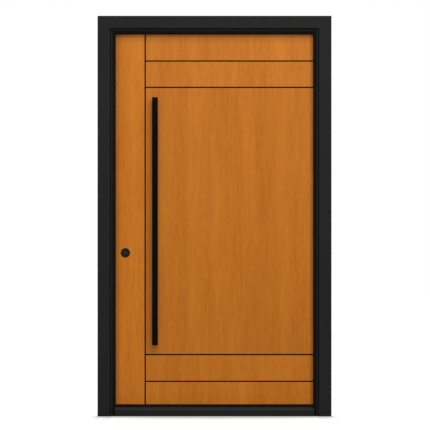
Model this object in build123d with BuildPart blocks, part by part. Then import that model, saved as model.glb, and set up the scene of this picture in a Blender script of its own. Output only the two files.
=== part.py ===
from build123d import *
import math
import os

# A single inswing entry door with its frame, in millimetres.
# The origin is the centre of the sill's underside: +X to the hinge side, +Y indoors, +Z up.
# Seen from outdoors, the latch is on the left and the hinges are on the right.

# Leaf
leaf_width = 1219.0
leaf_height = 2252.0
leaf_thickness = 44.5
leaf_lift = 71.0
skin_thickness = 2.5
latch_bevel = 3.0
latch_stile_width = 110.0
hinge_stile_width = 60.0
top_rail_height = 60.0
bottom_rail_height = 90.0

# Grooves moulded in both skins, and the dark strips laid in them
groove_width = 8.5
groove_depth = 5.0
upright_groove_from_latch = 189.5
top_band = 174.0
second_band = 159.5
bottom_band = 138.5
lower_second_band = 162.0
strip_thickness = 1.5
strip_side_gap = 0.15

# Gaps round the leaf
hinge_gap = 5.0
latch_gap = 5.5
head_gap = 5.0
sill_gap = 5.0

# Jambs, all three of one section
jamb_depth = 116.0
jamb_thickness = 34.0
stop_depth = 12.0
seal_space = 13.5
quirk_width = 6.0
quirk_depth = 7.0
band_width = 6.5
splay_depth = 18.0
kerf_width = 3.0
kerf_depth = 9.0
kerf_from_stop = 6.0

# Casings, flat boards mitred at the head
casing_width = 75.5
casing_thickness = 25.0
casing_lap = 17.5
casing_arris = 1.5

# Seals pushed into the kerf
seal_thickness = 8.5
seal_reach = 5.0
seal_side_gap = 0.6
seal_tail_gap = 0.3
seal_heel = 3.0

# Sill
sill_front_height = 37.5
sill_height = 54.0
nose_lift = 2.5
tread_thickness = 2.0
cap_thickness = 14.0
cap_rounding = 3.0
lip_height = 7.5
lip_clear = 5.5
lip_rounding = 1.5

# Shoe under the leaf
shoe_plate_thickness = 4.0
shoe_fin_thickness = 2.5
shoe_fin_inset = 3.0

# Butt hinges
hinge_count = 3
hinge_height = 114.0
hinge_plate_thickness = 3.0
hinge_plate_width = 36.0
hinge_plate_corner = 6.4
hinge_top_drop = 250.0
hinge_bottom_rise = 220.5
knuckle_count = 3
knuckle_radius = 7.0
knuckle_gap = 0.4
barrel_standoff = 0.5
plate_edge_gap = 0.5
mortise_gap = 0.2
mortise_run_out = 1.0
pin_radius = 3.0
pin_clearance = 0.1
pin_head_radius = 6.0
pin_head_height = 4.0

# Pulls, one on each face, fixed back to back
pull_length = 1500.0
pull_width = 35.0
pull_thickness = 20.0
pull_clear = 50.0
pull_from_latch = 249.0
pull_centre_height = 1179.0
pull_arris = 1.0
post_spacing = 1200.0
post_radius = 12.5

# Deadbolt
lock_height = 988.0
backset = 70.0
rose_radius = 28.0
rose_height = 7.0
rose_arris = 2.0
collar_radius = 17.0
collar_height = 4.0
boss_radius = 21.5
boss_depth = 14.0
plug_radius = 8.0
plug_clearance = 0.15
keyway_width = 2.2
keyway_length = 9.0
keyway_depth = 6.0
cross_bore_clearance = 0.5
bolt_height = 19.0
bolt_thickness = 14.0
bolt_length = 40.0
bolt_clearance = 0.2
bolt_case_radius = 12.5
bolt_case_length = 44.0
faceplate_height = 57.0
faceplate_width = 25.0
faceplate_thickness = 2.5
faceplate_corner = 6.0
turn_stem_radius = 5.0
turn_length = 42.0
turn_width = 9.0
turn_height = 16.0

# Strike in the latch jamb
strike_height = 70.0
strike_width = 28.0
strike_thickness = 2.5
strike_corner = 6.0
strike_hole_margin = 3.0
bolt_pocket_depth = 28.0

# Places that follow from the sizes above
opening_half = (hinge_gap + leaf_width + latch_gap) / 2
hinge_edge_x = opening_half - hinge_gap
latch_edge_x = latch_gap - opening_half
leaf_top = leaf_lift + leaf_height
opening_top = leaf_top + head_gap
inner_y = jamb_depth / 2
front_y = -jamb_depth / 2
leaf_outer_y = inner_y - leaf_thickness
shoulder_y = leaf_outer_y - seal_space
lip_top = sill_height + lip_height
frame_face = jamb_thickness - casing_lap + casing_width
unit_half = opening_half + frame_face
unit_height = opening_top + frame_face
core_outer_y = leaf_outer_y + skin_thickness
core_inner_y = inner_y - skin_thickness
upright_groove_x = latch_edge_x + upright_groove_from_latch
groove_heights = [
    leaf_top - top_band,
    leaf_top - top_band - second_band,
    leaf_lift + bottom_band + lower_second_band,
    leaf_lift + bottom_band,
]
pin_x = opening_half - hinge_gap / 2
pin_y = inner_y + knuckle_radius + barrel_standoff
top_hinge_z = leaf_top - hinge_top_drop
bottom_hinge_z = leaf_lift + hinge_bottom_rise
hinge_step = (top_hinge_z - bottom_hinge_z) / (hinge_count - 1)
hinge_heights = [top_hinge_z - hinge_step * index for index in range(hinge_count)]
lock_x = latch_edge_x + backset
pull_x = latch_edge_x + pull_from_latch
post_heights = [pull_centre_height - post_spacing / 2, pull_centre_height + post_spacing / 2]

# Section planes: local x runs from the rabbet face into the opening, local y runs indoors
latch_plane = Plane(origin=(-opening_half, 0, 0), x_dir=(1, 0, 0), z_dir=(0, 0, 1))
hinge_plane = Plane(origin=(opening_half, 0, 0), x_dir=(-1, 0, 0), z_dir=(0, 0, -1))
head_plane = Plane(origin=(0, 0, opening_top), x_dir=(0, 0, -1), z_dir=(1, 0, 0))
latch_mitre = Plane(origin=(-unit_half, 0, unit_height), z_dir=(1, 0, 1))
hinge_mitre = Plane(origin=(unit_half, 0, unit_height), z_dir=(-1, 0, 1))

os.makedirs("parts", exist_ok=True)


def save(part, name):
    """Label a finished piece and write it under its own name."""
    part.label = name
    export_step(part, f"parts/{name}.step")


def outline(*points):
    """A flat face inside straight lines through the given points."""
    with BuildSketch() as face:
        with BuildLine():
            Polyline(*points, close=True)
        make_face()
    return face.sketch


def upright(section, plane, mitre, foot=0.0):
    """A side piece of the frame: its section run up from the foot and mitred at the head."""
    with BuildPart() as piece:
        with BuildSketch(plane):
            add(section)
        extrude(amount=unit_height, dir=(0, 0, 1))
        split(bisect_by=mitre, keep=Keep.BOTTOM)
        if foot > 0:
            split(bisect_by=Plane.XY.offset(foot), keep=Keep.TOP)
    return piece.part


def header(section):
    """The head piece of the frame, mitred at both ends."""
    with BuildPart() as piece:
        with BuildSketch(head_plane):
            add(section)
        extrude(amount=unit_half, both=True)
        split(bisect_by=latch_mitre, keep=Keep.TOP)
        split(bisect_by=hinge_mitre, keep=Keep.TOP)
    return piece.part


# Jamb section: casing seat, quirk, flat band, splay, stop with its kerf, rabbet
casing_edge = casing_lap - jamb_thickness
quirk_edge = casing_edge + quirk_width
band_edge = quirk_edge + band_width
kerf_far = stop_depth - kerf_from_stop
kerf_near = kerf_far - kerf_width
jamb_section = outline(
    (-jamb_thickness, front_y),
    (casing_edge, front_y),
    (casing_edge, front_y + quirk_depth),
    (quirk_edge, front_y + quirk_depth),
    (quirk_edge, front_y),
    (band_edge, front_y),
    (stop_depth, front_y + splay_depth),
    (stop_depth, shoulder_y),
    (kerf_far, shoulder_y),
    (kerf_far, shoulder_y - kerf_depth),
    (kerf_near, shoulder_y - kerf_depth),
    (kerf_near, shoulder_y),
    (0, shoulder_y),
    (0, inner_y),
    (-jamb_thickness, inner_y),
)

# Casing section, with its two front corners eased
with BuildSketch() as casing_board:
    with Locations((casing_edge - casing_width / 2, front_y - casing_thickness / 2)):
        Rectangle(casing_width, casing_thickness)
    chamfer(casing_board.vertices().group_by(Axis.Y)[0], casing_arris)
casing_section = casing_board.sketch

# Seal section: a bulb on the shoulder, a lip past the stop and a tail in the kerf
tail_near = kerf_near + seal_tail_gap
tail_far = kerf_far - seal_tail_gap
with BuildSketch() as seal_bulb:
    with BuildLine():
        Polyline(
            (stop_depth, shoulder_y + seal_thickness),
            (seal_side_gap + seal_heel, shoulder_y + seal_thickness),
            (seal_side_gap, shoulder_y + seal_thickness - seal_heel),
            (seal_side_gap, shoulder_y),
            (stop_depth, shoulder_y),
        )
        ThreePointArc(
            (stop_depth, shoulder_y),
            (stop_depth + seal_reach, shoulder_y + seal_thickness / 2),
            (stop_depth, shoulder_y + seal_thickness),
        )
    make_face()
    with Locations(((tail_near + tail_far) / 2, shoulder_y - (kerf_depth - seal_tail_gap) / 2)):
        Rectangle(tail_far - tail_near, kerf_depth - seal_tail_gap)
seal_section = seal_bulb.sketch

save(upright(casing_section, latch_plane, latch_mitre), "latch_casing")
save(upright(casing_section, hinge_plane, hinge_mitre), "hinge_casing")
save(header(casing_section), "head_casing")
save(upright(seal_section, latch_plane, latch_mitre, foot=lip_top), "latch_seal")
save(upright(seal_section, hinge_plane, hinge_mitre, foot=lip_top), "hinge_seal")
save(header(seal_section), "head_seal")
save(header(jamb_section), "head_jamb")

# The strike plate lies flush in the latch jamb, over the pocket for the bolt
bolt_y = (leaf_outer_y + inner_y) / 2
strike_plane = Plane(origin=(-opening_half, bolt_y, lock_height), x_dir=(0, 0, 1), z_dir=(1, 0, 0))
strike_hole = (bolt_height + 2 * strike_hole_margin, bolt_thickness + 2 * strike_hole_margin)
with BuildPart() as latch_jamb:
    add(upright(jamb_section, latch_plane, latch_mitre))
    with BuildSketch(strike_plane):
        RectangleRounded(
            strike_height + 2 * mortise_gap, strike_width + 2 * mortise_gap, strike_corner
        )
    extrude(amount=-strike_thickness, mode=Mode.SUBTRACT)
    with BuildSketch(strike_plane):
        Rectangle(*strike_hole)
    extrude(amount=-bolt_pocket_depth, mode=Mode.SUBTRACT)
save(latch_jamb.part, "latch_jamb")

with BuildPart() as strike_plate:
    with BuildSketch(strike_plane):
        RectangleRounded(strike_height, strike_width, strike_corner)
        Rectangle(*strike_hole, mode=Mode.SUBTRACT)
    extrude(amount=-strike_thickness)
save(strike_plate.part, "strike_plate")

# Hinge plates: local x runs indoors along the edge, local y up, out of the leaf's edge
door_hinge_planes = [
    Plane(origin=(hinge_edge_x, 0, height), x_dir=(0, 1, 0), z_dir=(1, 0, 0))
    for height in hinge_heights
]
frame_hinge_planes = [
    Plane(origin=(opening_half, 0, height), x_dir=(0, 1, 0), z_dir=(1, 0, 0))
    for height in hinge_heights
]


def plate_shape(edge_y, margin):
    """A hinge plate's outline up to edge_y, its two corners in the wood rounded."""
    root_y = inner_y - hinge_plate_width - margin
    with BuildSketch() as plate:
        with Locations(((root_y + edge_y) / 2, 0)):
            Rectangle(edge_y - root_y, hinge_height + 2 * margin)
        fillet(plate.vertices().group_by(Axis.X)[0], hinge_plate_corner)
    return plate.sketch


mortise_shape = plate_shape(inner_y + mortise_run_out, mortise_gap)
hinge_plate_shape = plate_shape(inner_y - plate_edge_gap, 0)

with BuildPart() as hinge_jamb:
    add(upright(jamb_section, hinge_plane, hinge_mitre))
    with BuildSketch(*frame_hinge_planes):
        add(mortise_shape)
    extrude(amount=hinge_plate_thickness, mode=Mode.SUBTRACT)
save(hinge_jamb.part, "hinge_jamb")

# Sill: a core between the jambs, a bent tread over its front and a cap under the leaf
stop_face_x = opening_half - stop_depth
slope_rise = sill_height - sill_front_height
slope_angle = math.atan2(slope_rise, shoulder_y - front_y)
tread_drop = tread_thickness / math.cos(slope_angle)
nose_back = front_y + tread_thickness
nose_top = sill_front_height + tread_thickness * math.tan(slope_angle)
cap_base = sill_height - cap_thickness

with BuildPart() as sill_tread:
    with BuildSketch(Plane.YZ):
        add(
            outline(
                (front_y, nose_lift),
                (nose_back, nose_lift),
                (nose_back, nose_top - tread_drop),
                (shoulder_y, sill_height - tread_drop),
                (shoulder_y, sill_height),
                (front_y, sill_front_height),
            )
        )
    extrude(amount=stop_face_x, both=True)
save(sill_tread.part, "sill_tread")

with BuildPart() as threshold_cap:
    with BuildSketch(Plane.YZ):
        with Locations(((shoulder_y + inner_y) / 2, cap_base + cap_thickness / 2)):
            Rectangle(inner_y - shoulder_y, cap_thickness)
    extrude(amount=opening_half, both=True)
    top_edges = threshold_cap.edges().filter_by(Axis.X).group_by(Axis.Z)[-1]
    fillet(top_edges.sort_by(Axis.Y)[-1], cap_rounding)
save(threshold_cap.part, "threshold_cap")

# A lip along the cap's front, under the side seals, that closes the line of sight below the leaf
with BuildPart() as threshold_lip:
    with BuildSketch(Plane.YZ):
        with Locations((shoulder_y + (seal_space - lip_clear) / 2, sill_height + lip_height / 2)):
            Rectangle(seal_space - lip_clear, lip_height)
    extrude(amount=opening_half, both=True)
    fillet(threshold_lip.edges().filter_by(Axis.X).group_by(Axis.Z)[-1], lip_rounding)
save(threshold_lip.part, "threshold_lip")

with BuildPart() as sill_base:
    with BuildSketch(Plane.YZ):
        add(
            outline(
                (nose_back, 0),
                (inner_y, 0),
                (inner_y, cap_base),
                (shoulder_y, cap_base),
                (shoulder_y, sill_height - tread_drop),
                (nose_back, nose_top - tread_drop),
            )
        )
    extrude(amount=stop_face_x, both=True)
    with BuildSketch(Plane.YZ):
        with Locations(((shoulder_y + inner_y) / 2, cap_base / 2)):
            Rectangle(inner_y - shoulder_y, cap_base)
    extrude(amount=opening_half, both=True)
save(sill_base.part, "sill_base")


# Leaf
def edge_x(y):
    """Where the bevelled latch edge stands at a depth y."""
    return latch_edge_x + (inner_y - y) * math.tan(math.radians(latch_bevel))


def leaf_section(right_x, near_y, far_y):
    """A plan section from the bevelled latch edge to right_x."""
    return outline((edge_x(near_y), near_y), (right_x, near_y), (right_x, far_y), (edge_x(far_y), far_y))


def groove_lines(width):
    """The grooves' layout on a face: one full-height upright and four rails to the hinge edge."""
    with BuildSketch() as lines:
        with Locations((upright_groove_x, leaf_lift + leaf_height / 2)):
            Rectangle(width, leaf_height)
        rail_length = hinge_edge_x - upright_groove_x
        with Locations(*[(upright_groove_x + rail_length / 2, height) for height in groove_heights]):
            Rectangle(rail_length, width)
    return lines.sketch


def face_plane(y):
    """An upright plane across the leaf, with local x to the hinge side and local y up."""
    return Plane(origin=(0, y, 0), x_dir=(1, 0, 0), z_dir=(0, -1, 0))


leaf_foot = Plane.XY.offset(leaf_lift)
groove_shape = groove_lines(groove_width)
ridge_shape = groove_lines(groove_width + 2 * skin_thickness)
strip_shape = groove_lines(groove_width - 2 * strip_side_gap)


def carve_ridges(part):
    """Cut the beds of both skins' groove ridges out of a core piece."""
    with BuildPart() as carved:
        add(part)
        with BuildSketch(face_plane(core_outer_y)):
            add(ridge_shape)
        extrude(amount=-groove_depth, mode=Mode.SUBTRACT)
        with BuildSketch(face_plane(core_inner_y)):
            add(ridge_shape)
        extrude(amount=groove_depth, mode=Mode.SUBTRACT)
    return carved.part


with BuildPart() as outer_skin:
    with BuildSketch(leaf_foot):
        add(leaf_section(hinge_edge_x, leaf_outer_y, core_outer_y))
    extrude(amount=leaf_height)
    with BuildSketch(face_plane(core_outer_y)):
        add(ridge_shape)
    extrude(amount=-groove_depth)
    with BuildSketch(face_plane(leaf_outer_y)):
        add(groove_shape)
    extrude(amount=-groove_depth, mode=Mode.SUBTRACT)
    with BuildSketch(face_plane(leaf_outer_y)):
        with Locations((lock_x, lock_height)):
            Circle(boss_radius + cross_bore_clearance)
    extrude(amount=-skin_thickness, mode=Mode.SUBTRACT)
save(outer_skin.part, "outer_skin")

with BuildPart() as inner_skin:
    with BuildSketch(leaf_foot):
        add(leaf_section(hinge_edge_x, core_inner_y, inner_y))
    extrude(amount=leaf_height)
    with BuildSketch(face_plane(core_inner_y)):
        add(ridge_shape)
    extrude(amount=groove_depth)
    with BuildSketch(face_plane(inner_y)):
        add(groove_shape)
    extrude(amount=groove_depth, mode=Mode.SUBTRACT)
    with BuildSketch(face_plane(inner_y)):
        with Locations((lock_x, lock_height)):
            Circle(boss_radius + cross_bore_clearance)
    extrude(amount=skin_thickness, mode=Mode.SUBTRACT)
    with BuildSketch(*door_hinge_planes):
        add(mortise_shape)
    extrude(amount=-hinge_plate_thickness, mode=Mode.SUBTRACT)
save(inner_skin.part, "inner_skin")

with BuildPart() as outer_groove_trim:
    with BuildSketch(face_plane(leaf_outer_y + groove_depth)):
        add(strip_shape)
    extrude(amount=strip_thickness)
save(outer_groove_trim.part, "outer_groove_trim")

with BuildPart() as inner_groove_trim:
    with BuildSketch(face_plane(inner_y - groove_depth)):
        add(strip_shape)
    extrude(amount=-strip_thickness)
save(inner_groove_trim.part, "inner_groove_trim")

# Latch edge plane at the lock: local x up, local y indoors along the edge, local z out of it
bevel = math.radians(latch_bevel)
edge_plane = Plane(
    origin=(edge_x(bolt_y), bolt_y, lock_height),
    x_dir=(0, 0, 1),
    z_dir=(-math.cos(bevel), -math.sin(bevel), 0),
)
latch_stile_x = latch_edge_x + latch_stile_width
hinge_stile_x = hinge_edge_x - hinge_stile_width

with BuildPart() as latch_stile_blank:
    with BuildSketch(leaf_foot):
        add(leaf_section(latch_stile_x, core_outer_y, core_inner_y))
    extrude(amount=leaf_height)
    with BuildSketch(face_plane(core_outer_y)):
        with Locations((lock_x, lock_height)):
            Circle(boss_radius + cross_bore_clearance)
    extrude(amount=core_outer_y - core_inner_y, mode=Mode.SUBTRACT)
    with BuildSketch(edge_plane):
        Circle(bolt_case_radius + mortise_gap)
    extrude(amount=-backset, mode=Mode.SUBTRACT)
    with BuildSketch(edge_plane):
        RectangleRounded(
            faceplate_height + 2 * mortise_gap, faceplate_width + 2 * mortise_gap, faceplate_corner
        )
    extrude(amount=-faceplate_thickness, mode=Mode.SUBTRACT)
save(carve_ridges(latch_stile_blank.part), "latch_stile")

with BuildPart() as hinge_stile_blank:
    with BuildSketch(leaf_foot):
        with Locations((hinge_edge_x - hinge_stile_width / 2, (core_outer_y + core_inner_y) / 2)):
            Rectangle(hinge_stile_width, core_inner_y - core_outer_y)
    extrude(amount=leaf_height)
    with BuildSketch(*door_hinge_planes):
        add(mortise_shape)
    extrude(amount=-hinge_plate_thickness, mode=Mode.SUBTRACT)
save(carve_ridges(hinge_stile_blank.part), "hinge_stile")


def core_piece(low_z, high_z):
    """A piece between the stiles and between the skins, carved for the groove ridges."""
    with BuildPart() as piece:
        with BuildSketch(Plane.XY.offset(low_z)):
            with Locations(((latch_stile_x + hinge_stile_x) / 2, (core_outer_y + core_inner_y) / 2)):
                Rectangle(hinge_stile_x - latch_stile_x, core_inner_y - core_outer_y)
        extrude(amount=high_z - low_z)
    return carve_ridges(piece.part)


save(core_piece(leaf_top - top_rail_height, leaf_top), "top_rail")
save(core_piece(leaf_lift, leaf_lift + bottom_rail_height), "bottom_rail")
save(core_piece(leaf_lift + bottom_rail_height, leaf_top - top_rail_height), "foam_core")

# Shoe: a plate under the leaf with three fins hanging over the threshold cap
shoe_base = leaf_lift - shoe_plate_thickness
fin_foot = sill_height + sill_gap
fin_inset = shoe_fin_inset + shoe_fin_thickness / 2
fin_places = [leaf_outer_y + fin_inset, bolt_y, inner_y - fin_inset]
with BuildPart() as door_shoe:
    with BuildSketch(Plane.XY.offset(shoe_base)):
        add(leaf_section(hinge_edge_x, leaf_outer_y, inner_y))
    extrude(amount=shoe_plate_thickness)
    for fin_y in fin_places:
        with BuildSketch(Plane.XY.offset(fin_foot)):
            add(
                leaf_section(
                    hinge_edge_x, fin_y - shoe_fin_thickness / 2, fin_y + shoe_fin_thickness / 2
                )
            )
        extrude(amount=shoe_base - fin_foot)
save(door_shoe.part, "door_shoe")

# Hinges: knuckles round each pin by turns, the outer ones on the frame's plate
knuckle_length = (hinge_height - (knuckle_count - 1) * knuckle_gap) / knuckle_count
knuckle_step = knuckle_length + knuckle_gap


def hinge_leaf(plate_plane, into, height, first_knuckle):
    """One plate of a hinge with its knuckles; into is +1 for the jamb side and -1 for the leaf."""
    face_x = plate_plane.origin.X
    plate_mid_x = face_x + into * hinge_plate_thickness / 2
    tail_y = inner_y - plate_edge_gap - hinge_plate_thickness
    with BuildPart() as piece:
        with BuildSketch(plate_plane):
            add(hinge_plate_shape)
        extrude(amount=into * hinge_plate_thickness)
        for index in range(first_knuckle, knuckle_count, 2):
            knuckle_foot = height - hinge_height / 2 + index * knuckle_step
            with BuildSketch(Plane.XY.offset(knuckle_foot)):
                with Locations((pin_x, pin_y)):
                    Circle(knuckle_radius)
                with Locations((plate_mid_x, (tail_y + pin_y) / 2)):
                    Rectangle(hinge_plate_thickness, pin_y - tail_y)
                with Locations((pin_x, pin_y)):
                    Circle(pin_radius + pin_clearance, mode=Mode.SUBTRACT)
            extrude(amount=knuckle_length)
    return piece.part


for number, height in enumerate(hinge_heights, start=1):
    frame_leaf = hinge_leaf(frame_hinge_planes[number - 1], 1, height, 0)
    save(frame_leaf, f"hinge_{number}_frame_leaf")
    door_leaf = hinge_leaf(door_hinge_planes[number - 1], -1, height, 1)
    save(door_leaf, f"hinge_{number}_door_leaf")

# Pins, each with a flat button on both ends of the barrel
with BuildPart() as hinge_pins:
    for height in hinge_heights:
        barrel_foot = height - hinge_height / 2
        with BuildSketch(Plane.XY.offset(barrel_foot)):
            with Locations((pin_x, pin_y)):
                Circle(pin_radius)
        extrude(amount=hinge_height)
        button_feet = [barrel_foot - pin_head_height, barrel_foot + hinge_height]
        with BuildSketch(*[Plane.XY.offset(foot) for foot in button_feet]):
            with Locations((pin_x, pin_y)):
                Circle(pin_head_radius)
        extrude(amount=pin_head_height)
save(hinge_pins.part, "hinge_pins")


# Pulls
def pull_bar(near_y, far_y):
    """A flat bar with square-cut ends and eased arrises."""
    with BuildPart() as bar:
        with BuildSketch(Plane.XY.offset(pull_centre_height - pull_length / 2)):
            with Locations((pull_x, (near_y + far_y) / 2)):
                Rectangle(pull_width, far_y - near_y)
        extrude(amount=pull_length)
        chamfer(bar.edges(), pull_arris)
    return bar.part


def pull_posts(leaf_y, outward):
    """Two round posts that stand on the leaf and carry the bar."""
    with BuildPart() as posts:
        with BuildSketch(face_plane(leaf_y)):
            with Locations(*[(pull_x, height) for height in post_heights]):
                Circle(post_radius)
        extrude(amount=outward * pull_clear)
    return posts.part


outer_bar_back = leaf_outer_y - pull_clear
inner_bar_back = inner_y + pull_clear
save(pull_bar(outer_bar_back - pull_thickness, outer_bar_back), "outer_pull_bar")
save(pull_posts(leaf_outer_y, 1), "outer_pull_posts")
save(pull_bar(inner_bar_back, inner_bar_back + pull_thickness), "inner_pull_bar")
save(pull_posts(inner_y, -1), "inner_pull_posts")


# Deadbolt
def rose(leaf_y, outward, hole_radius):
    """A round rose with an eased rim, a collar, a boss in the leaf and a centre hole."""
    profile_plane = Plane(
        origin=(lock_x, leaf_y, lock_height), x_dir=(1, 0, 0), z_dir=(0, 0, outward)
    )
    top = -rose_height
    collar_top = top - collar_height
    with BuildPart() as disc:
        with BuildSketch(profile_plane):
            with BuildLine():
                Polyline(
                    (hole_radius, boss_depth),
                    (boss_radius, boss_depth),
                    (boss_radius, 0),
                    (rose_radius, 0),
                    (rose_radius, top + rose_arris),
                    (rose_radius - rose_arris, top),
                    (collar_radius, top),
                    (collar_radius, collar_top),
                    (hole_radius, collar_top),
                    close=True,
                )
            make_face()
        revolve(axis=Axis((lock_x, leaf_y, lock_height), (0, 1, 0)))
    return disc.part


save(rose(leaf_outer_y, 1, plug_radius + plug_clearance), "deadbolt_rose")
save(rose(inner_y, -1, turn_stem_radius + plug_clearance), "thumb_turn_rose")

plug_face_y = leaf_outer_y - rose_height - collar_height
with BuildPart() as key_cylinder:
    with BuildSketch(face_plane(plug_face_y)):
        with Locations((lock_x, lock_height)):
            Circle(plug_radius)
    extrude(amount=-(rose_height + collar_height + boss_depth))
    with BuildSketch(face_plane(plug_face_y)):
        with Locations((lock_x, lock_height)):
            Rectangle(keyway_width, keyway_length)
    extrude(amount=-keyway_depth, mode=Mode.SUBTRACT)
save(key_cylinder.part, "key_cylinder")

turn_face_y = inner_y + rose_height + collar_height
with BuildPart() as thumb_turn:
    with BuildSketch(face_plane(turn_face_y)):
        with Locations((lock_x, lock_height)):
            Circle(turn_stem_radius)
    extrude(amount=rose_height + collar_height + boss_depth)
    with BuildSketch(face_plane(turn_face_y)):
        with Locations((lock_x, lock_height)):
            SlotOverall(turn_length, turn_width, rotation=90)
    extrude(amount=-turn_height)
save(thumb_turn.part, "thumb_turn")

with BuildPart() as deadbolt_faceplate:
    with BuildSketch(edge_plane):
        RectangleRounded(faceplate_height, faceplate_width, faceplate_corner)
    extrude(amount=-faceplate_thickness)
    with BuildSketch(edge_plane):
        Circle(bolt_case_radius)
    extrude(amount=-bolt_case_length)
    with BuildSketch(edge_plane):
        Rectangle(bolt_height + 2 * bolt_clearance, bolt_thickness + 2 * bolt_clearance)
    extrude(amount=-bolt_case_length, mode=Mode.SUBTRACT)
save(deadbolt_faceplate.part, "deadbolt_faceplate")

with BuildPart() as deadbolt_bolt:
    with BuildSketch(edge_plane):
        Rectangle(bolt_height, bolt_thickness)
    extrude(amount=-bolt_length)
save(deadbolt_bolt.part, "deadbolt_bolt")
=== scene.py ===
"""Finishes, small fasteners and a studio for an entry door in its frame.

Laid out as an add-on and run as a script. Lengths are in metres: +X to the hinge side, +Y indoors, +Z up.
"""

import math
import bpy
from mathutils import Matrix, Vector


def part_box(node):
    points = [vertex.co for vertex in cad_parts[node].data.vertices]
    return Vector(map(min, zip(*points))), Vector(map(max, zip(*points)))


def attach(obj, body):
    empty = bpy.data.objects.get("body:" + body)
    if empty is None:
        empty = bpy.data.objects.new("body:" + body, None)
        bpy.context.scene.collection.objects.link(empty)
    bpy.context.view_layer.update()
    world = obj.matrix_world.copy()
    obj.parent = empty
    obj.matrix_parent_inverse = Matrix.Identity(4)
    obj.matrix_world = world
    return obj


bl_info = {
    "name": "Entry Door Finish",
    "version": (1, 0, 0),
    "blender": (4, 5, 0),
    "location": "View3D > Sidebar > Entry Door",
    "description": "Grain, paint, metal, screws and a studio for an entry door in its frame",
    "category": "Object",
}

import bpy
from bpy.props import FloatProperty, FloatVectorProperty, IntProperty, PointerProperty
from mathutils import Vector

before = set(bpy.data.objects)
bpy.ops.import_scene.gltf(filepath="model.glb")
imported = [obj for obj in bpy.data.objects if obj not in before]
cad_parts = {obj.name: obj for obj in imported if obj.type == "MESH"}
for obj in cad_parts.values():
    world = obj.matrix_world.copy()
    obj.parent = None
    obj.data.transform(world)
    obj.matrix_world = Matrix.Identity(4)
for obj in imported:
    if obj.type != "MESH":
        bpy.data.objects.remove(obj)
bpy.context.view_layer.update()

# Measures of the door that its finishes and fasteners are set out from
HINGE_GAP = 0.005
LATCH_BEVEL = math.radians(3.0)
SILL_FRONT_HEIGHT = 0.0375
COLLAR_RADIUS = 0.0172
GROOVE_HEIGHTS = (0.2095, 0.3715, 1.9895, 2.149)
UPRIGHT_GROOVE_X = -0.4195

# Lock plate screws, above and below the plate's middle
FACEPLATE_SCREW_RISE = 0.0222
STRIKE_SCREW_RISE = 0.024

# Hinge screws: rise from the plate's middle, and inset from the jamb's indoor edge
HINGE_SCREW_PLACES = ((-0.043, 0.0135), (-0.0155, 0.0245), (0.0155, 0.0245), (0.043, 0.0135))

# Threshold cap screws: the end ones' inset, and their place as a share of the cap's depth
CAP_SCREW_INSET = 0.12
CAP_SCREW_SHARE = 0.46

# First and last rib, as shares of the way up the sill's slope
RIB_SPAN = (0.16, 0.94)

# Arms of a screw's cross recess: their length and width, as shares of its head's radius
RECESS_LENGTH = 1.20
RECESS_WIDTH = 0.26

# Brightness of the stile and then of each board from the bottom up, before the gain that all share
BOARD_TONES = (0.862, 0.83, 0.785, 0.75, 0.788, 0.805)
BOARD_GAIN = 1.2

# How far across the grain's pattern each board is shifted from the one before
BOARD_SHIFT = 1.37

# Painted shade at the leaf's rim, where the frame's recess shades it: where it starts and ends, in from each
# edge, and its level
LATCH_RIM_SHADE = (0.011, 0.044, 0.70)
HINGE_RIM_SHADE = (0.013, 0.037, 0.58)
HEAD_RIM_SHADE = (0.030, 0.075, 0.77)

# How much the bands, streaks, flecks and fibres each add to the grain's tone
GRAIN_SHARES = (0.32, 0.28, 0.25, 0.15)

# Redder stain that comes and goes in the grain, and the tint of the stain in its pores, with their shares
WARM_STAIN = (0.62, 0.13, 0.012, 1.0)
WARM_SHARE = 0.10
PORE_TINT = (0.72, 0.62, 0.5, 1.0)
PORE_SHARE = 0.55

# Each coat's roughness, its specular level and the size of its grit
COATS = {
    "frame_paint": (0.50, 0.030, 0.0016),
    "jamb_paint_and_shade": (0.44, 0.008, 0.0016),
    "seal_rubber": (0.72, 0.008, 0.0007),
    "shoe_rubber": (0.66, 0.020, 0.0007),
    "sill_metal": (0.40, 0.100, 0.0009),
    "sill_composite": (0.62, 0.030, 0.0009),
    "groove_strip": (0.60, 0.020, 0.0008),
    "black_metal": (0.42, 0.020, 0.0008),
    "rose_metal": (0.44, 0.060, 0.0008),
    "lock_metal": (0.34, 0.150, 0.0006),
    "hinge_metal": (0.38, 0.200, 0.0007),
}

# Scale of the clouds in a coat, and of its orange peel beside its grit
CLOUD_SCALE = 2.2
PEEL_SCALE = 0.22

# Scale of the pattern of lines on the tread, along X, Y and Z
LINE_SCALE = (2.0, 900.0, 900.0)

# Where the painted light on the tread's slope begins and is full, from the height of the sill's front edge
SLOPE_LIGHT_FADE = (-0.0005, 0.001)

# Floor as seen: its white, how much its shade takes off, and the least that stays
FLOOR_WHITE = 0.89
FLOOR_SHADE = 4.6
FLOOR_LEAST = 0.38

# Grey of the floor as light on the door, and as seen under its glow
BOUNCE_GREY = (0.80, 0.80, 0.80, 1.0)
SEEN_GREY = (0.25, 0.25, 0.25, 1.0)

# Where the floor's shade fades under the unit, along Y, and the share of it that is left there
SHADE_FADE = (-0.10, 0.0)
SHADE_LEFT = 0.1

# Deeper shade at a casing's foot: how far it is full, and where it ends, in half widths of the casing
FOOT_SPAN = (0.9, 1.6)


def colour(name, description, default):
    """A colour setting in linear light."""
    return FloatVectorProperty(
        name=name, description=description, subtype="COLOR", size=3, min=0.0, max=1.0, default=default
    )


def length(name, description, default):
    """A length setting in metres."""
    return FloatProperty(
        name=name, description=description, default=default, min=0.0, precision=5,
        subtype="DISTANCE", unit="LENGTH",
    )


def point(name, description, default):
    """A place setting in metres."""
    return FloatVectorProperty(
        name=name, description=description, default=default, size=3, subtype="XYZ", unit="LENGTH"
    )


def angle(name, description, degrees):
    """An angle setting, given in degrees."""
    return FloatProperty(
        name=name, description=description, default=math.radians(degrees), subtype="ANGLE", unit="ROTATION"
    )


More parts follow.
